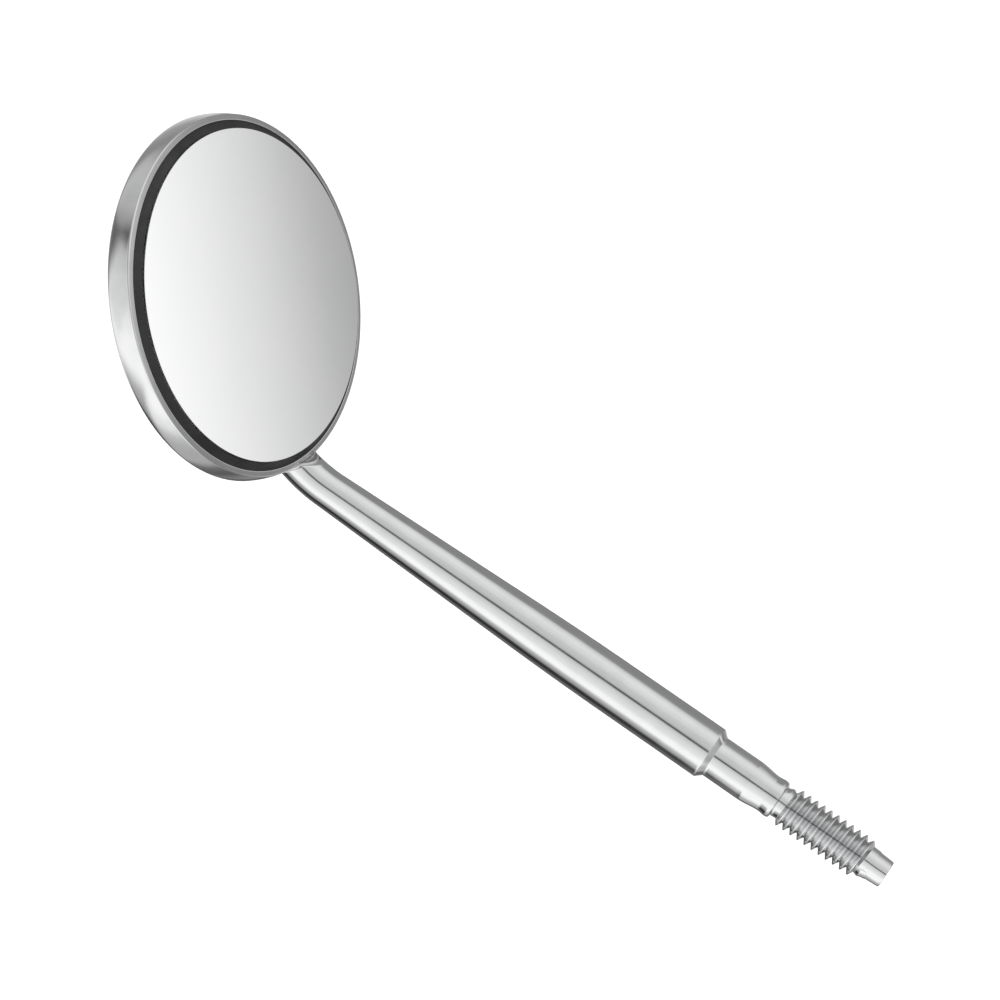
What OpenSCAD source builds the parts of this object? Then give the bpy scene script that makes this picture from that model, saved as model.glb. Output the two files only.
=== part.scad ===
// Mouth mirror head: a plane front-surface mirror in a rolled steel cup,
// on a tapered, bent stem with a threaded tail for the handle.
// Origin: centre of the shoulder face on the stem's axis. The stem runs
// along X with the thread at -X and the head at +X. The mirror looks up
// and back along the stem. Symmetric about the XZ plane, thread apart.

/* [Head] */
// Largest outer diameter of the cup
head_d = 20; // [16:0.5:24]
// Outer height of the cup, lip to back
cup_h = 1.43; // [1.3:0.01:2.2]
// Width of the rolled lip
lip_t = 0.42; // [0.34:0.02:0.5]
// Radius of the lip's outer corner
lip_r = 0.1; // [0.06:0.02:0.14]
// How far the side wall draws in from the back edge to the lip
wall_draw = 0.14; // [0.1:0.02:0.24]
// Thickness of the cup's floor
floor_t = 0.3; // [0.2:0.05:0.4]
// Angle between the mirror plane and the stem's axis
head_angle = 49; // [47:1:51]

/* [Mirror] */
// Gap between the glass edge and the cup's wall
ring_gap = 0.38; // [0.3:0.02:0.6]
// How far the mirror stands proud of the head's datum plane
glass_proud = 0.36; // [0.16:0.02:0.5]
// Thickness of the reflective film
coating_t = 0.05; // [0.03:0.01:0.1]
// Thickness of the bedding pad under the glass
pad_t = 0.2; // [0.1:0.05:0.3]

/* [Stem] */
// Largest diameter of the shank
shank_d = 3.02; // [2.8:0.02:3.4]
// Diameter of the shank where the bend starts
slim_d = 2.21; // [2:0.01:2.4]
// Length of the parallel part of the shank
shank_l = 6.5; // [4:0.5:8]
// Distance from the shoulder to the start of the bend
bend_x = 25.9; // [25.7:0.1:26.1]
// Radius of the bend, on the stem's axis
bend_r = 7.4; // [7:0.1:8]
// Diameter of the plain neck that registers in the handle
neck_d = 2.4; // [2.4:0.02:2.6]
// Length of the full-diameter neck
neck_l = 2.3; // [1.8:0.1:2.6]

// Width of the gap that the filler bridges
braze_gap = 0.05; // [0.03:0.01:0.08]
// Leg of the filler in the corner
braze_leg = 0.14; // [0.1:0.02:0.2]

/* [Thread] */
// Crest diameter of the thread
thread_d = 2.38; // [2.3:0.02:2.4]
// Root diameter of the thread
thread_root_d = 1.74; // [1.7:0.02:1.95]
// Pitch of the thread
thread_p = 0.45; // [0.4:0.05:0.5]
// Number of turns
thread_turns = 12; // [8:1:12]
// Diameter of the plain tip
tip_d = 1.66; // [1.4:0.02:1.68]

/* [Hidden] */

$fn = 96;
eps = 0.01;

head_r = head_d / 2;
// the lip's highest line, and where its land meets the seal
lip_h = -0.02;
land_h = -0.05;
corner_h = lip_h - lip_r;
// centre of the head's datum plane, which follows the stem's end
head_c = [27.69 + head_r * cos(head_angle), 0, 0.833 + head_r * sin(head_angle)];
wall_in = head_r - wall_draw - lip_t;
glass_r = wall_in - ring_gap;
glass_top = glass_proud - coating_t;
floor_in = -cup_h + floor_t;
glass_bot = floor_in + pad_t;

// barrel-shaped outside of the side wall, from the lip down to the back edge
back_r = 0.25;
function wall_pts(n = 5) = [for (i = [0 : n])
    let (u = i / n, h = corner_h - u * (cup_h - back_r + corner_h))
    [head_r - wall_draw * pow(1 - u, 1.8), h]];
function arc_pts(cx, cy, r, a0, a1, n) = [for (i = [0 : n])
    let (a = a0 + (a1 - a0) * i / n) [cx + r * cos(a), cy + r * sin(a)]];

// outline of the cup without its hollow, as radius and height
cup_outline = concat(
    [[0, land_h], [wall_in, land_h]],
    arc_pts(head_r - wall_draw - lip_r, corner_h, lip_r, 84, 12, 3),
    wall_pts(),
    arc_pts(head_r - back_r, -cup_h + back_r, back_r, -12, -78, 4),
    [[head_r - back_r, -cup_h], [0, -cup_h]]);

module head_frame() {
    translate(head_c) rotate([0, -head_angle, 0]) children();
}

module along_x() {
    rotate([0, 90, 0]) children();
}

// ---- stem ----------------------------------------------------------

neck_end = -(neck_l + 1.8);
tip_x = neck_end - thread_p * (thread_turns + 1) - 0.95;
r_s = shank_d / 2;
r_e = slim_d / 2;
r_n = neck_d / 2;
// drop of the radius over the easing between shank and taper
ease_l = 6.2;
slope = (r_s - r_e) / (bend_x - shank_l - ease_l / 2);

shank_profile = concat(
    [[0, 0], [r_n, 0], [r_s, (r_s - r_n) * 1.1]],
    [for (i = [0 : 5]) let (u = ease_l * i / 5) [r_s - slope * u * u / (2 * ease_l), shank_l + u]],
    [[r_e, bend_x], [0, bend_x]]);

neck_profile = [
    [0, eps], [r_n, eps], [r_n, -neck_l], [r_n - 0.1, -neck_l - 0.85],
    [r_n - 0.12, -neck_l - 1.2], [r_n - 0.08, -neck_l - 1.5], [r_n - 0.09, -neck_l - 1.72],
    [r_n - 0.17, neck_end], [0, neck_end]];

// helical thread as one closed body: a core with one V ridge wound round it
seg = 24;
rr = thread_root_d / 2;
rc = thread_d / 2;
steps = seg * thread_turns;
x_first = neck_end + 0.02;
x_top = neck_end + 0.3;
x_bot = x_first - thread_p * (thread_turns + 1) - 0.1;
function fade(i) = max(0.06, min(1, i / (0.7 * seg) + 0.06, (steps - i) / (0.9 * seg) + 0.06));
function on_helix(i, u, r) = let (a = 360 * i / seg + 6)
    [x_first - thread_p * (i / seg + u), r * cos(a), r * sin(a)];

module thread_body() {
    root = [for (i = [0 : steps + seg]) on_helix(i, 0, rr)];
    crest = [for (i = [0 : steps]) each [on_helix(i, 0.44, rr + (rc - rr) * fade(i)), on_helix(i, 0.56, rr + (rc - rr) * fade(i))]];
    top = [for (k = [0 : seg - 1]) let (a = 360 * k / seg + 6) [x_top, (rr - 0.03) * cos(a), (rr - 0.03) * sin(a)]];
    bot = [for (k = [0 : seg - 1]) let (a = 360 * k / seg + 6) [x_bot, (rr - 0.03) * cos(a), (rr - 0.03) * sin(a)]];
    c0 = steps + seg + 1;
    t0 = c0 + 2 * (steps + 1);
    b0 = t0 + seg;
    faces = concat(
        [for (i = [0 : steps - 1]) let (p = c0 + 2 * i) each [
            [i, p, i + 1], [p, p + 2, i + 1],
            [p, p + 1, p + 2], [p + 1, p + 3, p + 2],
            [p + 1, i + seg, p + 3], [i + seg, i + seg + 1, p + 3]]],
        [for (k = [0 : seg - 1]) let (k2 = (k + 1) % seg) each [
            [t0 + k, k, t0 + k2], [k, k + 1, t0 + k2],
            [steps + k, b0 + k, steps + k + 1], [b0 + k, b0 + k2, steps + k + 1]]],
        [[t0, seg, c0 + 1, c0, 0]],
        [[b0, steps, c0 + 2 * steps, c0 + 2 * steps + 1, steps + seg]],
        [[for (k = [0 : seg - 1]) t0 + k]],
        [[for (k = [0 : seg - 1]) b0 + seg - 1 - k]]);
    polyhedron(points = concat(root, crest, top, bot), faces = [for (f = faces) [for (j = [len(f) - 1 : -1 : 0]) f[j]]], convexity = 10);
}

// arc that turns the stem's end up to the cup's side wall
module stem_bend(grow = 0) {
    translate([bend_x, 0, bend_r]) rotate([90, 0, 0]) rotate([0, 0, -90])
        rotate_extrude(angle = 26) translate([bend_r, 0]) circle(r = r_e + grow, $fn = 48);
}

// space that the stem's end leaves free: the outside of the cup grown by a
// gap, and the bevels that fair the end to the lip and to the back
module end_cutter(gap = 0) {
    head_frame() rotate_extrude() polygon(concat(
        [[0, 3], [head_r + 0.9, 3]],
        arc_pts(head_r - wall_draw - lip_r, corner_h, lip_r + gap, 62, 8, 3),
        [for (p = wall_pts()) [p[0] + gap, p[1]]],
        [[head_r - 0.03 + gap, -cup_h + 0.14], [head_r + 2.4, -cup_h - 2.3], [0, -cup_h - 2.3]]));
}

module stem_end() {
    difference() {
        stem_bend();
        end_cutter(braze_gap);
    }
}

module stem() {
    color("lightsteelblue") {
        along_x() rotate_extrude() polygon(shank_profile);
        stem_end();
        along_x() rotate_extrude() polygon(neck_profile);
        thread_body();
        along_x() translate([0, 0, tip_x]) cylinder(r1 = tip_d / 2 - 0.06, r2 = tip_d / 2, h = x_bot + 0.2 - tip_x);
    }
}

// ---- head ----------------------------------------------------------

module head_cup() {
    color("silver") head_frame() difference() {
        rotate_extrude() polygon(cup_outline);
        translate([0, 0, floor_in]) cylinder(r = wall_in, h = cup_h);
    }
}

// filler in the joint gap and in the corners on both sides of the stem
module braze_fillet() {
    color("dimgray") difference() {
        intersection() {
            stem_bend(braze_leg);
            head_frame() rotate_extrude() polygon(concat(
                [[head_r - 1, -0.06], [head_r - wall_draw + braze_leg * 0.6, -0.06]],
                [for (p = wall_pts()) [p[0] + braze_leg, p[1]]],
                [[head_r + braze_leg * 0.6, -cup_h + 0.08], [head_r - 1, -cup_h + 0.08]]));
        }
        stem_end();
        end_cutter();
    }
}

module mirror_glass() {
    color("lightcyan") head_frame() {
        translate([0, 0, glass_bot]) cylinder(r = glass_r, h = glass_top - 0.04 - glass_bot);
        translate([0, 0, glass_top - 0.04]) cylinder(r1 = glass_r, r2 = glass_r - 0.03, h = 0.04);
    }
}

module reflective_coating() {
    color("whitesmoke") head_frame()
        translate([0, 0, glass_top]) cylinder(r = glass_r - 0.03, h = coating_t);
}

module seal_ring() {
    color("black") head_frame() rotate_extrude() polygon([
        [glass_r, glass_bot], [wall_in, glass_bot], [wall_in, land_h],
        [wall_in - 0.07, -0.02], [glass_r + 0.2, 0.06], [glass_r + 0.07, glass_top - 0.13], [glass_r, glass_top - 0.07]]);
}

module backing_pad() {
    color("gray") head_frame()
        translate([0, 0, floor_in]) cylinder(r = wall_in - 0.02, h = pad_t);
}

stem();
head_cup();
braze_fillet();
mirror_glass();
reflective_coating();
seal_ring();
backing_pad();
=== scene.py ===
import math

import bpy
from mathutils import Matrix, Vector


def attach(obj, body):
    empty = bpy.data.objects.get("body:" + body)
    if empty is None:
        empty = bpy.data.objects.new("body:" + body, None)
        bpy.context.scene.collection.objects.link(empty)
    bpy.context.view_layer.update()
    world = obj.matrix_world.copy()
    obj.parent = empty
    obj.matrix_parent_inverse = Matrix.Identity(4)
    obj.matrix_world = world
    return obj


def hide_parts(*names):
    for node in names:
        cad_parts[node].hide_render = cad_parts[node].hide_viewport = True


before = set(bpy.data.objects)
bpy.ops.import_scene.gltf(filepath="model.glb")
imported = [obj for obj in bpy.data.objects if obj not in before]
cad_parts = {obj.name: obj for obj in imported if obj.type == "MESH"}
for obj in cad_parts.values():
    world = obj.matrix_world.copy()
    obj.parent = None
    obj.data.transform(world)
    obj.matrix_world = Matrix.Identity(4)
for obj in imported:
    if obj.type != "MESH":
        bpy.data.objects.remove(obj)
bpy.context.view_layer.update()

MM = 0.001
scene = bpy.context.scene

# ---------------------------------------------------------------------------
# Camera: the frame's X is the stem's axis, so the view is turned and rolled.
# ---------------------------------------------------------------------------
VIEW_R = ((-0.8116, -0.4787, 0.3350), (0.5527, -0.4431, 0.7058), (-0.1894, 0.7580, 0.6242))
VIEW_T = (11.55900, -13.77996, -131.18114)
FOCAL_PX = 2443.48

x_axis = Vector(VIEW_R[0]).normalized()
z_axis = Vector(VIEW_R[2]).normalized()
y_axis = z_axis.cross(x_axis).normalized()
x_axis = y_axis.cross(z_axis).normalized()
rot = Matrix((x_axis, y_axis, z_axis))
cam_data = bpy.data.cameras.new("camera")
cam_data.sensor_fit = "HORIZONTAL"
cam_data.sensor_width = 36.0
cam_data.lens = FOCAL_PX * 36.0 / 1000.0
cam_data.clip_start = 0.005
cam_data.clip_end = 50.0
cam_data.dof.use_dof = False
cam = bpy.data.objects.new("camera", cam_data)
scene.collection.objects.link(cam)
cam_loc = rot.transposed() @ (-Vector(VIEW_T)) * MM
cam.matrix_world = Matrix.Translation(cam_loc) @ rot.transposed().to_4x4()
scene.camera = cam
scene.view_settings.view_transform = "Standard"
scene.view_settings.look = "None"

# ---------------------------------------------------------------------------
# Dimensions, in millimetres, the same as the CAD's
# ---------------------------------------------------------------------------
HEAD_R = 10.0
CUP_H = 1.43
LIP_R = 0.10
LIP_H = -0.02      # highest line of the lip
LAND_H = -0.05     # where the lip's land meets the seal
DRAW = 0.14
BACK_R = 0.25
WALL_IN = 9.44
GLASS_R = 9.06
FLOOR_IN = -1.13
GLASS_BOT = -0.93
GLASS_TOP = 0.31
COAT_TOP = 0.36
TILT = math.radians(49.0)
HEAD_C = Vector((27.69 + 10 * math.cos(TILT), 0.0, 0.833 + 10 * math.sin(TILT)))
AX_N = Vector((-math.sin(TILT), 0.0, math.cos(TILT)))   # the mirror's normal
AX_E = Vector((-math.cos(TILT), 0.0, -math.sin(TILT)))  # from the centre to the joint
AX_Y = Vector((0.0, 1.0, 0.0))

R_SHANK, R_SLIM, R_NECK = 1.51, 1.105, 1.2
SHANK_L, BEND_X, BEND_R, EASE = 6.5, 25.9, 7.4, 6.2
NECK_L = 2.3
GAP = 0.05
THREAD_P, THREAD_TURNS, RC, RR = 0.45, 12, 1.19, 0.87
X_FIRST = -4.08
PHASE = math.radians(6.0)


# ---------------------------------------------------------------------------
# Mesh helpers
# ---------------------------------------------------------------------------
def make(name, verts, faces, node, sharp=None):
    me = bpy.data.meshes.new(name)
    me.from_pydata([tuple(c * MM for c in v) for v in verts], [], faces)
    me.validate(verbose=False)
    me.update()
    ob = bpy.data.objects.new(name, me)
    scene.collection.objects.link(ob)
    me.polygons.foreach_set("use_smooth", [True] * len(me.polygons))
    if sharp:
        me.set_sharp_from_angle(angle=math.radians(sharp))
    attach(ob, "root")
    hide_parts(node)
    return ob


def smooth_path(pts, n):
    """A smooth curve through points, n steps between each two."""
    out = []
    for i in range(len(pts) - 1):
        p0 = pts[max(i - 1, 0)]
        p1, p2 = pts[i], pts[i + 1]
        p3 = pts[min(i + 2, len(pts) - 1)]
        for k in range(n):
            t = k / n
            out.append(tuple(
                0.5 * (2 * b + (c - a) * t + (2 * a - 5 * b + 4 * c - d) * t * t + (3 * b - a - 3 * c + d) * t ** 3)
                for a, b, c, d in zip(p0, p1, p2, p3)))
    out.append(tuple(pts[-1]))
    return out


def arc(cx, cy, r, a0, a1, n):
    return [(cx + r * math.cos(math.radians(a0 + (a1 - a0) * i / n)),
             cy + r * math.sin(math.radians(a0 + (a1 - a0) * i / n))) for i in range(n + 1)]


def head_point(r, a, h):
    return HEAD_C + AX_E * (r * math.cos(a)) + AX_Y * (r * math.sin(a)) + AX_N * h


def revolve(profile, seg, closed_loop=False, wobble=None):
    """Turn a profile of (radius, height) round the head's axis into a closed mesh.
    Without closed_loop the first and last points lie on the axis."""
    verts, faces = [], []
    pts = profile if closed_loop else profile[1:-1]
    for (r, h) in pts:
        for k in range(seg):
            a = 2 * math.pi * k / seg
            dr, dh = wobble(r, a, h) if wobble else (0.0, 0.0)
            verts.append(head_point(r + dr, a, h + dh))
    m = len(pts)
    rows = range(m) if closed_loop else range(m - 1)
    for i in rows:
        j = (i + 1) % m
        for k in range(seg):
            k2 = (k + 1) % seg
            faces.append((i * seg + k, i * seg + k2, j * seg + k2, j * seg + k))
    if not closed_loop:
        verts.append(head_point(0, 0, profile[0][1]))
        verts.append(head_point(0, 0, profile[-1][1]))
        s, e = len(verts) - 2, len(verts) - 1
        for k in range(seg):
            k2 = (k + 1) % seg
            faces.append((s, k2, k))
            faces.append((e, (m - 1) * seg + k, (m - 1) * seg + k2))
    return verts, faces


def outward(ob):
    """Turn the faces outward."""
    import bmesh
    bm = bmesh.new()
    bm.from_mesh(ob.data)
    bmesh.ops.recalc_face_normals(bm, faces=bm.faces)
    if bm.calc_volume(signed=True) < 0:
        bmesh.ops.reverse_faces(bm, faces=bm.faces)
    bm.to_mesh(ob.data)
    bm.free()
    ob.data.update()


# ---------------------------------------------------------------------------
# Head: cup, pad, glass, film and seal
# ---------------------------------------------------------------------------
LIP_C = (HEAD_R - DRAW - LIP_R, LIP_H - LIP_R)  # centre of the lip's corner


def wall_r(h):
    u = min(max((LIP_C[1] - h) / (CUP_H - BACK_R + LIP_C[1]), 0.0), 1.0)
    return HEAD_R - DRAW * (1 - u) ** 1.8


SEG = 288
LIP_IN = WALL_IN + 0.07
cup_profile = [(0.0, -CUP_H), (3.0, -CUP_H), (6.5, -CUP_H), (9.0, -CUP_H), (HEAD_R - BACK_R - 0.05, -CUP_H)]
cup_profile += [(HEAD_R - BACK_R + BACK_R * math.sin(math.radians(t)), -CUP_H + BACK_R * (1 - math.cos(math.radians(t)))) for t in range(0, 91, 9)]
for i in range(1, 21):
    h = -CUP_H + BACK_R + (CUP_H - BACK_R + LIP_C[1]) * i / 20
    cup_profile.append((wall_r(h), h))
cup_profile += arc(LIP_C[0], LIP_C[1], LIP_R, 9, 84, 10)
# the lip rises a little from its corner to the seal
cup_profile += [(LIP_IN + 0.19, LIP_H + 0.010), (LIP_IN + 0.12, LIP_H + 0.021), (LIP_IN + 0.05, LIP_H + 0.032), (LIP_IN + 0.022, LIP_H + 0.034),
                (LIP_IN + 0.006, LIP_H + 0.029), (LIP_IN, LIP_H + 0.019), (LIP_IN, LIP_H), (WALL_IN, -0.14), (WALL_IN, -0.2), (WALL_IN, -0.6), (WALL_IN, FLOOR_IN + 0.02), (WALL_IN - 0.02, FLOOR_IN), (9.0, FLOOR_IN), (4.0, FLOOR_IN), (0.0, FLOOR_IN)]
v, f = revolve(cup_profile, SEG)
cup = make("cup", v, f, "head_cup")

pad_profile = [(0.0, FLOOR_IN), (5.0, FLOOR_IN), (9.40, FLOOR_IN)] + arc(9.40, FLOOR_IN + 0.06, 0.06, -80, 0, 4) + arc(9.40, GLASS_BOT - 0.06, 0.06, 0, 80, 4) + [(9.40, GLASS_BOT), (5.0, GLASS_BOT), (0.0, GLASS_BOT)]
v, f = revolve(pad_profile, 144)
pad = make("pad", v, f, "backing_pad", sharp=40)

glass_profile = [(0.0, GLASS_BOT), (6.0, GLASS_BOT), (9.03, GLASS_BOT), (GLASS_R, GLASS_BOT + 0.03), (GLASS_R, -0.3), (GLASS_R, GLASS_TOP - 0.045),
                 (GLASS_R - 0.004, GLASS_TOP - 0.036), (GLASS_R - 0.026, GLASS_TOP - 0.004), (GLASS_R - 0.032, GLASS_TOP), (6.0, GLASS_TOP), (0.0, GLASS_TOP)]
v, f = revolve(glass_profile, SEG)
glass = make("glass", v, f, "mirror_glass", sharp=25)

FILM_R = GLASS_R - 0.03
film_profile = [(0.0, GLASS_TOP), (4.5, GLASS_TOP), (FILM_R - 0.004, GLASS_TOP), (FILM_R, GLASS_TOP + 0.006), (FILM_R, COAT_TOP - 0.016),
                (FILM_R - 0.004, COAT_TOP - 0.006), (FILM_R - 0.014, COAT_TOP), (FILM_R - 0.06, COAT_TOP), (7.5, COAT_TOP), (4.5, COAT_TOP), (0.0, COAT_TOP)]
v, f = revolve(film_profile, SEG)
film = make("film", v, f, "reflective_coating", sharp=30)


def seal_wobble(r, a, h):
    """The bead is laid by hand, so its face rises and falls a few hundredths."""
    if h < -0.25 or r < GLASS_R + 0.02 or r > WALL_IN - 0.02:
        return 0.0, 0.0
    w = math.sin(3 * a + 0.7) + 0.6 * math.sin(7 * a + 2.1) + 0.4 * math.sin(17 * a) + 0.25 * math.sin(41 * a + 1.3)
    return 0.0, -0.006 + 0.004 * w


seal_top = smooth_path([(LIP_IN - 0.002, -0.014), (9.43, -0.002), (9.26, 0.085), (9.13, 0.175), (GLASS_R, 0.235)], 5)
seal_profile = [(GLASS_R, GLASS_BOT), (GLASS_R + 0.2, GLASS_BOT), (WALL_IN, GLASS_BOT), (WALL_IN, -0.5), (WALL_IN, -0.145)] + seal_top + [(GLASS_R, -0.3)]
v, f = revolve(seal_profile, SEG, closed_loop=True, wobble=seal_wobble)
seal = make("seal", v, f, "seal_ring", sharp=35)

# ---------------------------------------------------------------------------
# Stem: dressed end, bend, tapered shank, register, relief, thread and tip in
# one skin
# ---------------------------------------------------------------------------
N = 96
ANG = [PHASE + 2 * math.pi * k / N for k in range(N)]


def tube_point(phi, psi, r):
    k = Vector((-math.sin(phi), 0, math.cos(phi)))
    c = Vector((BEND_X + BEND_R * math.sin(phi), 0, BEND_R - BEND_R * math.cos(phi)))
    return c + AX_Y * (r * math.cos(psi)) + k * (r * math.sin(psi))


def cut_radius(h, gap=GAP):
    """Radius from the head's axis where the stem's end starts, by height."""
    r0 = LIP_R + gap
    a62 = math.radians(62)
    top = (LIP_C[0] + r0 * math.cos(a62), LIP_C[1] + r0 * math.sin(a62))
    if h > top[1]:
        return top[0] + (h - top[1]) * (HEAD_R + 0.9 - top[0]) / (3 - top[1])
    if h > LIP_C[1] + r0 * math.sin(math.radians(8)):
        return LIP_C[0] + math.sqrt(max(r0 * r0 - (h - LIP_C[1]) ** 2, 0))
    if h > -CUP_H + BACK_R:
        return wall_r(h) + gap
    low = (HEAD_R - 0.03 + gap, -CUP_H + 0.14)
    if h > low[1]:
        t = (h - low[1]) / (BACK_R - 0.14)
        return low[0] + (HEAD_R + gap - low[0]) * t
    return low[0] + (low[1] - h) * (HEAD_R + 2.4 - low[0]) / (low[1] + CUP_H + 2.3)


def free(p, gap=GAP):
    q = p - HEAD_C
    h = q.dot(AX_N)
    rad = (q - AX_N * h).length
    return rad - cut_radius(h, gap)


def cut_phi(psi, r, gap=GAP):
    lo, hi = 0.0, math.radians(26)
    for _ in range(40):
        mid = 0.5 * (lo + hi)
        if free(tube_point(mid, psi, r), gap) > 0:
            lo = mid
        else:
            hi = mid
    return lo


# the end is rounded over by the dressing, most of all on the mirror's side
EDGES = [0.11 + 0.08 * max(math.sin(a), 0.0) ** 1.5 for a in ANG]
rings = []
# the cut face, from its middle out
cap_steps = 14
for i in range(1, cap_steps + 1):
    rings.append([tube_point(cut_phi(a, (R_SLIM - e) * i / cap_steps), a, (R_SLIM - e) * i / cap_steps) for a, e in zip(ANG, EDGES)])
# the rounded edge of the cut face
for t in (12, 24, 36, 48, 60, 72, 81, 90):
    th = math.radians(90 - t)
    ring = []
    for a, e in zip(ANG, EDGES):
        rr_ = R_SLIM - e * (1 - math.cos(th))
        base = cut_phi(a, R_SLIM - e * (1 - math.cos(th)))
        ring.append(tube_point(base - e * (1 - math.sin(th)) / BEND_R, a, rr_))
    rings.append(ring)
edge_phi = [cut_phi(a, R_SLIM) - e / BEND_R for a, e in zip(ANG, EDGES)]
BEND_STEPS = 44
for i in range(1, BEND_STEPS):
    t = 1 - i / BEND_STEPS
    rings.append([tube_point(p * t, a, R_SLIM) for p, a in zip(edge_phi, ANG)])


def lathe(profile):
    """Profile of (radius, x) along the stem's axis."""
    for r, x in profile:
        rings.append([Vector((x, r * math.cos(a), r * math.sin(a))) for a in ANG])


slope = (R_SHANK - R_SLIM) / (BEND_X - SHANK_L - EASE / 2)


def shank_r(x):
    if x <= SHANK_L:
        return R_SHANK
    u = x - SHANK_L
    if u < EASE:
        return R_SHANK - slope * u * u / (2 * EASE)
    return R_SHANK - slope * (u - EASE / 2)


shank = [(shank_r(BEND_X * i / 60), BEND_X * i / 60) for i in range(60, 0, -1) if BEND_X * i / 60 > 0.7]
lathe(shank)
# shoulder: chamfer with its two edges just broken
ch_x = (R_SHANK - R_NECK) * 1.1
dx, dr = ch_x, R_SHANK - R_NECK
ln = math.hypot(dx, dr)
ux, ur = dx / ln, dr / ln
B = 0.035
lathe([(R_SHANK, ch_x + 0.12), (R_SHANK, ch_x + B)])
for t in (0.25, 0.5, 0.75):
    a0 = (R_SHANK, ch_x + B)
    c0 = (R_SHANK, ch_x)
    b0 = (R_SHANK - ur * B, ch_x - ux * B)
    lathe([((1 - t) ** 2 * a0[0] + 2 * t * (1 - t) * c0[0] + t * t * b0[0], (1 - t) ** 2 * a0[1] + 2 * t * (1 - t) * c0[1] + t * t * b0[1])])
lathe([(R_SHANK - ur * B, ch_x - ux * B), (R_SHANK - ur * ln * 0.5, ch_x - ux * ln * 0.5), (R_NECK + ur * 0.02, ux * 0.02)])
lathe([(R_NECK + 0.004, 0.004), (R_NECK, -0.02)])
lathe([(R_NECK, -0.12)] + [(R_NECK, -0.25 * i) for i in range(1, 9)] + [(R_NECK, -2.2)])
relief = smooth_path([(R_NECK, -2.2), (R_NECK - 0.002, -2.35), (R_NECK - 0.04, -2.75), (R_NECK - 0.1, -3.15), (R_NECK - 0.12, -3.5),
                      (R_NECK - 0.085, -3.78), (R_NECK - 0.083, -3.92), (R_NECK - 0.1, -4.02)], 4)
lathe(relief[1:])
lathe([(1.08, -4.06), (1.04, -4.095), (0.97, -4.125), (0.90, -4.15)])

verts, faces = [], []
for ring in rings:
    verts.extend(ring)
n_r = len(rings)
for i in range(n_r - 1):
    for k in range(N):
        k2 = (k + 1) % N
        faces.append((i * N + k, i * N + k2, (i + 1) * N + k2, (i + 1) * N + k))
verts.append(tube_point(cut_phi(0, 0.0), 0, 0.0))
c_top = len(verts) - 1
for k in range(N):
    faces.append((c_top, (k + 1) % N, k))

# thread: rows follow the helix, so its crest and root are true lines
U = [0.0, 0.035, 0.075, 0.16, 0.25, 0.34, 0.40, 0.43, 0.46, 0.5, 0.54, 0.57, 0.60, 0.66, 0.75, 0.84, 0.925, 0.965]
STEPS = N * THREAD_TURNS
I0 = 18


def tooth(u):
    m = min(u, 1 - u)
    if m < 0.06:
        g = (m * m / 0.12 + 0.03) / 0.44
    elif m < 0.40:
        g = m / 0.44
    elif m < 0.48:
        g = 1 - (0.48 - m) ** 2 / 0.16 / 0.44
    else:
        g = 1.0
    g0 = 0.03 / 0.44
    return (g - g0) / (1 - g0)


def fade(i):
    return max(0.05, min(1.0, (i - I0) / (0.62 * N) + 0.05, (STEPS - i) / (0.9 * N) + 0.05))


R_ROOT = RR + 0.008


def helix(i, u, r):
    a = 2 * math.pi * i / N + PHASE
    return Vector((X_FIRST - THREAD_P * (i / N + u), r * math.cos(a), r * math.sin(a)))


root_at = {}
for i in range(I0, STEPS + N + 1):
    root_at[i] = len(verts)
    verts.append(helix(i, 0, R_ROOT))
col_at = {}
for i in range(I0, STEPS + 1):
    col_at[i] = len(verts)
    for u in U[1:]:
        verts.append(helix(i, u, R_ROOT + (RC - R_ROOT) * fade(i) * tooth(u)))
nc = len(U) - 1


def row(i):
    return [root_at[i]] + [col_at[i] + c for c in range(nc)] + [root_at[i + N]]


for i in range(I0, STEPS):
    a_, b_ = row(i), row(i + 1)
    for c in range(len(a_) - 1):
        faces.append((a_[c], b_[c], b_[c + 1], a_[c + 1]))
last = (n_r - 1) * N
for k in range(N):
    i = I0 + k
    faces.append((last + i % N, last + (i + 1) % N, root_at[i + 1], root_at[i]))
faces.append(tuple([last + I0 % N] + row(I0)))

X_BOT = X_FIRST - THREAD_P * (THREAD_TURNS + 1) - 0.1
TIP_X = -10.9
tip = [(0.862, X_BOT + 0.02), (0.845, X_BOT - 0.02), (0.826, X_BOT - 0.08), (0.80, X_BOT - 0.45), (0.785, X_BOT - 0.7), (0.773, TIP_X + 0.06),
       (0.765, TIP_X + 0.03), (0.745, TIP_X + 0.008), (0.71, TIP_X), (0.45, TIP_X), (0.2, TIP_X)]
tip_at = len(verts)
for r, x in tip:
    for a in ANG:
        verts.append(Vector((x, r * math.cos(a), r * math.sin(a))))
for k in range(N):
    i = STEPS + k
    faces.append((root_at[i], root_at[i + 1], tip_at + (i + 1) % N, tip_at + i % N))
faces.append(tuple(list(reversed(row(STEPS))) + [tip_at + STEPS % N]))
for j in range(len(tip) - 1):
    for k in range(N):
        k2 = (k + 1) % N
        faces.append((tip_at + j * N + k, tip_at + j * N + k2, tip_at + (j + 1) * N + k2, tip_at + (j + 1) * N + k))
verts.append(Vector((TIP_X, 0, 0)))
c_tip = len(verts) - 1
for k in range(N):
    faces.append((c_tip, tip_at + (len(tip) - 1) * N + k, tip_at + (len(tip) - 1) * N + (k + 1) % N))
stem = make("stem_turned", verts, faces, "stem", sharp=28)

# ---------------------------------------------------------------------------
# Filler: a thin bed in the joint and a bead all round its groove
# ---------------------------------------------------------------------------
def free_normal(p):
    d = 0.01
    g = Vector([free(p + Vector(o), 0.0) - free(p - Vector(o), 0.0) for o in ((d, 0, 0), (0, d, 0), (0, 0, d))])
    return g.normalized()


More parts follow.
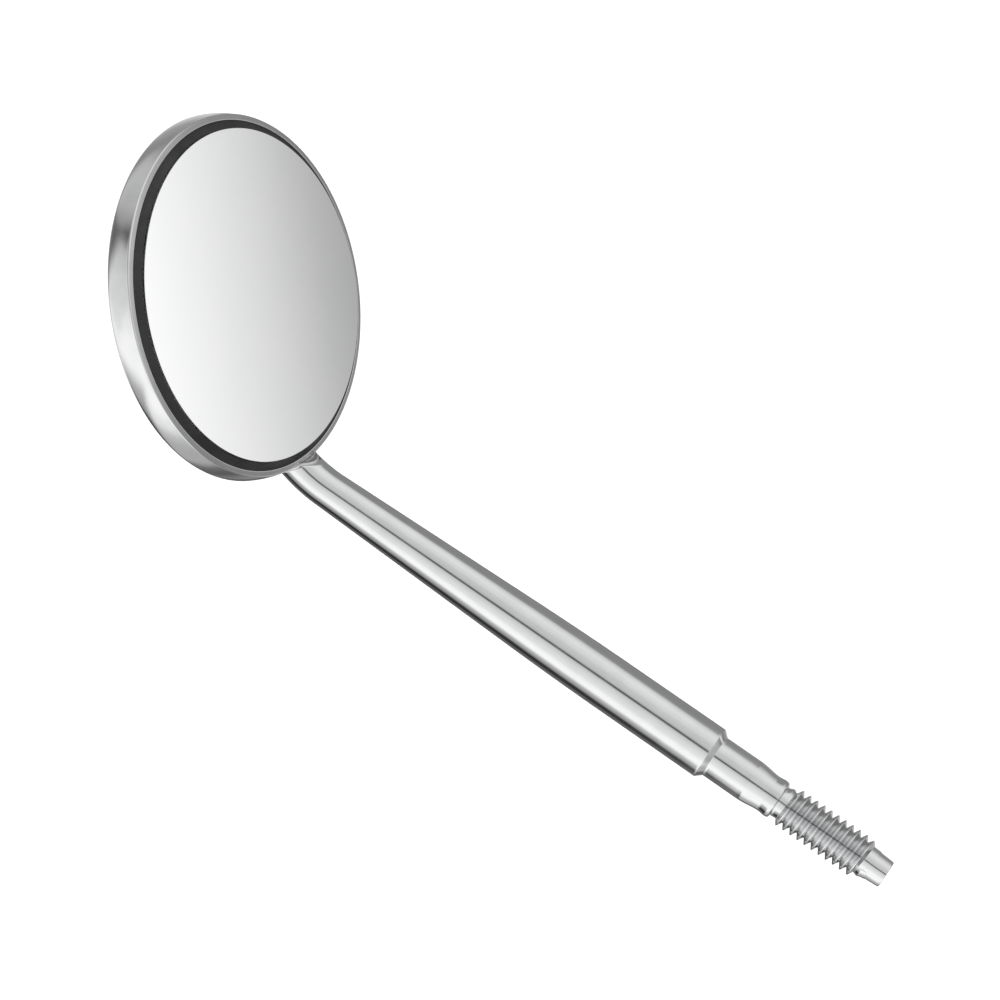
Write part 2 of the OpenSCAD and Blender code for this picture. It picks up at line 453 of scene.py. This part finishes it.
BEAD = 0.105
f_rings = []
for i in range(1, 7):
    f_rings.append([tube_point(cut_phi(a, (R_SLIM - e) * i / 7), a, (R_SLIM - e) * i / 7) for a, e in zip(ANG, EDGES)])
centres, outs, ups = [], [], []
for a, e in zip(ANG, EDGES):
    r0 = R_SLIM - 0.62 * e
    c0 = tube_point(cut_phi(a, r0, 0.5 * GAP), a, r0)
    up = free_normal(c0)
    o = (tube_point(0.3, a, 1.0) - tube_point(0.3, a, 0.0))
    o = (o - up * o.dot(up)).normalized()
    centres.append(c0)
    outs.append(o)
    ups.append(up)
for t in range(80, -81, -16):
    th = math.radians(t)
    f_rings.append([c + o * (BEAD * math.cos(th)) + u * (BEAD * math.sin(th)) for c, o, u in zip(centres, outs, ups)])
for i in range(6, 0, -1):
    f_rings.append([tube_point(cut_phi(a, (R_SLIM - e) * i / 7, 0.0), a, (R_SLIM - e) * i / 7) for a, e in zip(ANG, EDGES)])
bv, bf = [], []
for ring in f_rings:
    bv.extend(ring)
for i in range(len(f_rings) - 1):
    for k in range(N):
        k2 = (k + 1) % N
        bf.append((i * N + k, i * N + k2, (i + 1) * N + k2, (i + 1) * N + k))
bv.append(tube_point(cut_phi(0, 0.0), 0, 0.0))
bv.append(tube_point(cut_phi(0, 0.0, 0.0), 0, 0.0))
for k in range(N):
    k2 = (k + 1) % N
    bf.append((len(bv) - 2, k2, k))
    bf.append((len(bv) - 1, (len(f_rings) - 1) * N + k, (len(f_rings) - 1) * N + k2))
bead = make("braze_bead", bv, bf, "braze_fillet")

for ob in (cup, pad, glass, film, seal, stem, bead):
    outward(ob)
    ob.data.set_sharp_from_angle(angle=math.radians({"cup": 60, "stem_turned": 32, "braze_bead": 70}.get(ob.name, 30)))


# ---------------------------------------------------------------------------
# Materials
# ---------------------------------------------------------------------------
class Mat:
    """Small helper to lay out a node material."""

    def __init__(self, name):
        self.m = bpy.data.materials.new(name)
        self.m.use_nodes = True
        self.t = self.m.node_tree
        self.b = self.t.nodes["Principled BSDF"]
        self.co = self.node("ShaderNodeTexCoord").outputs["Object"]

    def node(self, kind, **kw):
        n = self.t.nodes.new(kind)
        for k, v in kw.items():
            setattr(n, k, v)
        return n

    def link(self, a, b):
        self.t.links.new(a, b)

    def scaled(self, s):
        n = self.node("ShaderNodeMapping")
        n.inputs["Scale"].default_value = s
        self.link(self.co, n.inputs["Vector"])
        return n.outputs["Vector"]

    def noise(self, vec, scale, detail=3.0, rough=0.5):
        n = self.node("ShaderNodeTexNoise")
        n.inputs["Scale"].default_value = scale
        n.inputs["Detail"].default_value = detail
        n.inputs["Roughness"].default_value = rough
        self.link(vec, n.inputs["Vector"])
        return n.outputs["Fac"]

    def to(self, fac, lo, hi, a=0.3, b=0.7):
        n = self.node("ShaderNodeMapRange")
        n.inputs["From Min"].default_value = a
        n.inputs["From Max"].default_value = b
        n.inputs["To Min"].default_value = lo
        n.inputs["To Max"].default_value = hi
        self.link(fac, n.inputs["Value"])
        return n.outputs["Result"]

    def ramp(self, fac, stops):
        n = self.node("ShaderNodeValToRGB")
        e = n.color_ramp.elements
        while len(e) > 1:
            e.remove(e[-1])
        e[0].position, e[0].color = stops[0][0], (*stops[0][1], 1)
        for p, c in stops[1:]:
            k = e.new(p)
            k.color = (*c, 1)
        self.link(fac, n.inputs["Fac"])
        return n.outputs["Color"]

    def math(self, op, a, b=None):
        n = self.node("ShaderNodeMath", operation=op)
        for s, v in zip(n.inputs, (a, b)):
            if v is None:
                continue
            if isinstance(v, (int, float)):
                s.default_value = v
            else:
                self.link(v, s)
        return n.outputs[0]

    def bump(self, height, strength, dist):
        n = self.node("ShaderNodeBump")
        n.inputs["Strength"].default_value = strength
        n.inputs["Distance"].default_value = dist
        self.link(height, n.inputs["Height"])
        self.link(n.outputs["Normal"], self.b.inputs["Normal"])
        return n


def spun(m, scale):
    """Radius and height about the head's axis, for lines left by spinning."""
    q = m.node("ShaderNodeVectorMath", operation="SUBTRACT")
    m.link(m.co, q.inputs[0])
    q.inputs[1].default_value = HEAD_C * 0.001
    h = m.node("ShaderNodeVectorMath", operation="DOT_PRODUCT")
    m.link(q.outputs["Vector"], h.inputs[0])
    h.inputs[1].default_value = AX_N
    sq = m.node("ShaderNodeVectorMath", operation="DOT_PRODUCT")
    m.link(q.outputs["Vector"], sq.inputs[0])
    m.link(q.outputs["Vector"], sq.inputs[1])
    hh = m.math("MULTIPLY", h.outputs["Value"], h.outputs["Value"])
    rad = m.math("SQRT", m.math("MAXIMUM", m.math("SUBTRACT", sq.outputs["Value"], hh), 0.0))
    xyz = m.node("ShaderNodeCombineXYZ")
    m.link(m.math("MULTIPLY", rad, scale[0]), xyz.inputs["X"])
    m.link(m.math("MULTIPLY", h.outputs["Value"], scale[1]), xyz.inputs["Y"])
    return xyz.outputs["Vector"]


def steel(name, base, rough_lo, rough_hi, turned, bump_strength, dirt=0.06, round_head=False):
    """Polished stainless steel: fine turning or brushing lines, faint haze."""
    m = Mat(name)
    m.b.inputs["Metallic"].default_value = 1.0
    haze = m.noise(m.scaled((1, 1, 1)), 900.0, 4.0, 0.55)
    lines = m.noise(spun(m, turned) if round_head else m.scaled(turned), 1.0, 3.0, 0.6)
    m.link(m.ramp(haze, [(0.3, tuple(c * (1 - dirt) for c in base)), (0.7, base)]), m.b.inputs["Base Color"])
    both = m.math("ADD", m.math("MULTIPLY", haze, 0.6), m.math("MULTIPLY", lines, 0.4))
    m.link(m.to(both, rough_lo, rough_hi, 0.35, 0.65), m.b.inputs["Roughness"])
    m.bump(lines, bump_strength, 0.000004)
    return m


mat_stem = steel("stem_steel", (0.665, 0.668, 0.672), 0.09, 0.15, (42000, 900, 900), 0.10)
mat_cup = steel("cup_steel", (0.66, 0.662, 0.668), 0.11, 0.19, (12000, 9000, 0), 0.14, 0.08, True)
mat_braze = steel("braze_alloy", (0.70, 0.697, 0.692), 0.42, 0.54, (9000, 9000, 9000), 0.12, 0.12)

m = Mat("front_silver")
m.b.inputs["Metallic"].default_value = 1.0
smear = m.noise(m.scaled((1, 1, 1)), 260.0, 5.0, 0.6)
grain = m.noise(m.scaled((1, 1, 1)), 9000.0, 2.0, 0.5)
m.link(m.ramp(smear, [(0.3, (0.885, 0.89, 0.895)), (0.7, (0.905, 0.905, 0.905))]), m.b.inputs["Base Color"])
m.link(m.to(m.math("ADD", m.math("MULTIPLY", smear, 0.7), m.math("MULTIPLY", grain, 0.3)), 0.015, 0.04, 0.35, 0.65), m.b.inputs["Roughness"])
mat_film = m

m = Mat("float_glass")
m.b.inputs["Transmission Weight"].default_value = 1.0
m.b.inputs["IOR"].default_value = 1.52
edge = m.noise(m.scaled((1, 1, 1)), 4000.0, 3.0, 0.6)
m.link(m.ramp(edge, [(0.3, (0.80, 0.90, 0.87)), (0.7, (0.86, 0.94, 0.91))]), m.b.inputs["Base Color"])
m.link(m.to(edge, 0.05, 0.16), m.b.inputs["Roughness"])
mat_glass = m

m = Mat("black_seal")
m.b.inputs["IOR"].default_value = 1.5
tex = m.noise(m.scaled((1, 1, 1)), 5200.0, 4.0, 0.6)
big = m.noise(m.scaled((1, 1, 1)), 700.0, 3.0, 0.5)
m.link(m.ramp(big, [(0.3, (0.011, 0.011, 0.012)), (0.7, (0.021, 0.021, 0.022))]), m.b.inputs["Base Color"])
m.b.inputs["Specular IOR Level"].default_value = 0.34
m.link(m.to(tex, 0.42, 0.6), m.b.inputs["Roughness"])
m.bump(tex, 0.35, 0.00001)
mat_seal = m

m = Mat("bedding_pad")
tex = m.noise(m.scaled((1, 1, 1)), 6500.0, 5.0, 0.65)
m.link(m.ramp(tex, [(0.3, (0.18, 0.18, 0.175)), (0.7, (0.32, 0.315, 0.30))]), m.b.inputs["Base Color"])
m.link(m.to(tex, 0.7, 0.92), m.b.inputs["Roughness"])
m.bump(tex, 0.5, 0.00003)
mat_pad = m

for ob, mm in ((stem, mat_stem), (cup, mat_cup), (glass, mat_glass), (film, mat_film), (seal, mat_seal), (pad, mat_pad), (bead, mat_braze)):
    ob.data.materials.clear()
    ob.data.materials.append(mm.m)

# ---------------------------------------------------------------------------
# Studio: soft bands of light all round, a pale floor well below
# ---------------------------------------------------------------------------
world = bpy.data.worlds.new("studio")
scene.world = world
world.use_nodes = True
wt = world.node_tree
wt.nodes.clear()


def wn(kind, **kw):
    n = wt.nodes.new(kind)
    for k, v in kw.items():
        setattr(n, k, v)
    return n


def wmath(op, *args, clamp=False):
    n = wn("ShaderNodeMath", operation=op)
    n.use_clamp = clamp
    for s, v in zip(n.inputs, args):
        if isinstance(v, (int, float)):
            s.default_value = v
        else:
            wt.links.new(v, s)
    return n.outputs[0]


def wstep(v, a, b):
    n = wn("ShaderNodeMapRange", interpolation_type="SMOOTHSTEP")
    n.inputs["From Min"].default_value = a
    n.inputs["From Max"].default_value = b
    wt.links.new(v, n.inputs["Value"])
    return n.outputs["Result"]


def wmix(fac, a, b):
    """a where fac is 0, b where it is 1."""
    return wmath("ADD", wmath("MULTIPLY", a, wmath("SUBTRACT", 1.0, fac)), wmath("MULTIPLY", b, fac))


def level(v, metal=0.66):
    """Radiance that a steel face of this reflectance shows as grey v of 255."""
    c = v / 255
    return (((c + 0.055) / 1.055) ** 2.4 if c > 0.04045 else c / 12.92) / metal


tc = wn("ShaderNodeTexCoord")
sep = wn("ShaderNodeSeparateXYZ")
wt.links.new(tc.outputs["Generated"], sep.inputs[0])
dx_, dy_, dz_ = sep.outputs
alpha = wmath("DIVIDE", wmath("ADD", wmath("ARCTAN2", dz_, dy_), math.pi), 2 * math.pi)  # 0..1 for -180..180 degrees

TOP = 1.6


def wramp(fac, stops):
    n = wn("ShaderNodeValToRGB")
    n.color_ramp.interpolation = "EASE"
    e = n.color_ramp.elements
    while len(e) > 1:
        e.remove(e[-1])
    first = True
    for deg, val in stops:
        p = (deg + 180) / 360
        c = level(val) / TOP
        if first:
            e[0].position, e[0].color = p, (c, c, c, 1)
            first = False
        else:
            k = e.new(p)
            k.color = (c, c, c, 1)
    wt.links.new(fac, n.inputs["Fac"])
    return wmath("MULTIPLY", n.outputs["Color"], TOP)


# grey seen in three directions along the stem, by the angle about its axis
near_band = wramp(alpha, [
    (-180, 130), (-160, 114), (-135, 80), (-122, 84), (-112, 98), (-100, 97), (-91, 86), (-82, 55), (-72, 40), (-66, 52), (-57, 140), (-46, 170),
    (-26, 251), (-15, 248), (8, 222), (30, 205), (50, 188), (64, 194), (86, 214), (104, 222), (117, 212), (137, 133), (160, 130), (180, 130)])
back_band = wramp(alpha, [
    (-180, 136), (-150, 170), (-130, 160), (-117, 118), (-107, 84), (-99, 100), (-90, 168), (-76, 170), (-68, 186), (-57, 232), (-44, 252), (-14, 250),
    (10, 224), (33, 205), (46, 196), (66, 196), (88, 214), (104, 222), (117, 214), (128, 198), (138, 176), (150, 142), (162, 130), (180, 128)])
front_band = wramp(alpha, [
    (-180, 142), (-164, 178), (-150, 206), (-139, 192), (-128, 150), (-112, 168), (-90, 198), (-58, 212), (-40, 240), (-25, 240), (-12, 220), (4, 212), (14, 206), (27, 192), (38, 150),
    (50, 150), (66, 176), (96, 186), (116, 170), (134, 137), (160, 132), (180, 150)])
bands = wmix(wstep(dx_, -0.02, 0.08), back_band, near_band)
bands = wmix(wstep(dx_, 0.38, 0.50), bands, front_band)
# the dark gap where the camera stands
gap_w = wmix(wstep(dx_, 0.30, 0.75), 4.8 / 360, 7.0 / 360)
cam_gap = wmath("SUBTRACT", 1.0, wmath("MULTIPLY", wmix(wstep(dx_, 0.30, 0.6), 0.97, 0.72), wmath("POWER", 2.718, wmath("MULTIPLY", -1.0, wmath("POWER", wmath("DIVIDE", wmath("ABSOLUTE", wmath("SUBTRACT", alpha, (41.3 + 180) / 360)), gap_w), 2.0)))))
bands = wmath("MULTIPLY", bands, cam_gap)
# both ends of the stem's axis look at a plain grey
near_end = wmix(wstep(wmath("ADD", wmath("MULTIPLY", dz_, 0.8), wmath("MULTIPLY", dy_, 0.6)), -0.4, 0.4), level(106), level(182))
ends = wmix(wstep(dx_, -0.97, -0.80), near_end, bands)
far_end = wramp(alpha, [
    (-180, 128), (-150, 150), (-130, 150), (-100, 135), (-60, 125), (0, 114), (18, 98), (32, 100), (50, 158), (70, 176),
    (115, 186), (140, 180), (158, 138), (180, 128)])
ends = wmix(wstep(dx_, 0.78, 0.92), ends, far_end)
# the soft panel that the mirror faces, brighter towards one side
Q = Vector((-0.4873, 0.6102, 0.6246))
MID = Vector((-0.6321, -0.7400, 0.2298)).normalized()


def wdot(v):
    return wmath("ADD", wmath("ADD", wmath("MULTIPLY", dx_, v.x), wmath("MULTIPLY", dy_, v.y)), wmath("MULTIPLY", dz_, v.z))


side = wmath("ADD", wmath("DIVIDE", wmath("SUBTRACT", wdot(Q), MID.dot(Q)), 0.20), 0.5, clamp=True)
pn = wn("ShaderNodeValToRGB")
pe = pn.color_ramp.elements
while len(pe) > 1:
    pe.remove(pe[-1])
for i, (p, v_) in enumerate([(0.0, 140), (0.20, 160), (0.29, 171), (0.35, 184), (0.40, 198), (0.45, 211), (0.50, 221), (0.60, 238), (0.70, 251), (0.8, 255)]):
    c = level(v_, 0.9) / TOP
    if i == 0:
        pe[0].position, pe[0].color = p, (c, c, c, 1)
    else:
        pe.new(p).color = (c, c, c, 1)
wt.links.new(side, pn.inputs["Fac"])
panel_lum = wmath("MULTIPLY", pn.outputs["Color"], TOP)
total = wmix(wstep(wdot(MID), 0.980, 0.993), ends, panel_lum)

path = wn("ShaderNodeLightPath")
bg_obj = wn("ShaderNodeBackground")
wt.links.new(total, bg_obj.inputs["Strength"])
bg_obj.inputs["Color"].default_value = (1, 1, 1, 1)
bg_cam = wn("ShaderNodeBackground")
bg_cam.inputs["Color"].default_value = (1, 1, 1, 1)
bg_cam.inputs["Strength"].default_value = 1.0
mixer = wn("ShaderNodeMixShader")
wt.links.new(path.outputs["Is Camera Ray"], mixer.inputs["Fac"])
wt.links.new(bg_obj.outputs[0], mixer.inputs[1])
wt.links.new(bg_cam.outputs[0], mixer.inputs[2])
out = wn("ShaderNodeOutputWorld")
wt.links.new(mixer.outputs[0], out.inputs["Surface"])

# floor
FLOOR_Z = -0.045
me = bpy.data.meshes.new("floor")
s = 3.0
me.from_pydata([(-s, -s, FLOOR_Z), (s, -s, FLOOR_Z), (s, s, FLOOR_Z), (-s, s, FLOOR_Z)], [], [(0, 1, 2, 3)])
floor = bpy.data.objects.new("floor", me)
scene.collection.objects.link(floor)
floor.visible_glossy = False
fm = Mat("floor_paper")
fibre = fm.noise(fm.scaled((1, 1, 1)), 300.0, 4.0, 0.6)
fm.link(fm.ramp(fibre, [(0.3, (0.92, 0.92, 0.92)), (0.7, (0.95, 0.95, 0.95))]), fm.b.inputs["Base Color"])
fm.b.inputs["Roughness"].default_value = 0.9
fm.b.inputs["Specular IOR Level"].default_value = 0.0
me.materials.append(fm.m)

# overhead soft light for the floor
ld = bpy.data.lights.new("overhead", "AREA")
ld.shape = "RECTANGLE"
ld.size = 1.6
ld.size_y = 1.6
ld.energy = 9.0
lo = bpy.data.objects.new("overhead", ld)
lo.location = (0.015, 0.0, 0.9)
scene.collection.objects.link(lo)
lo.visible_glossy = False
lo.visible_camera = False
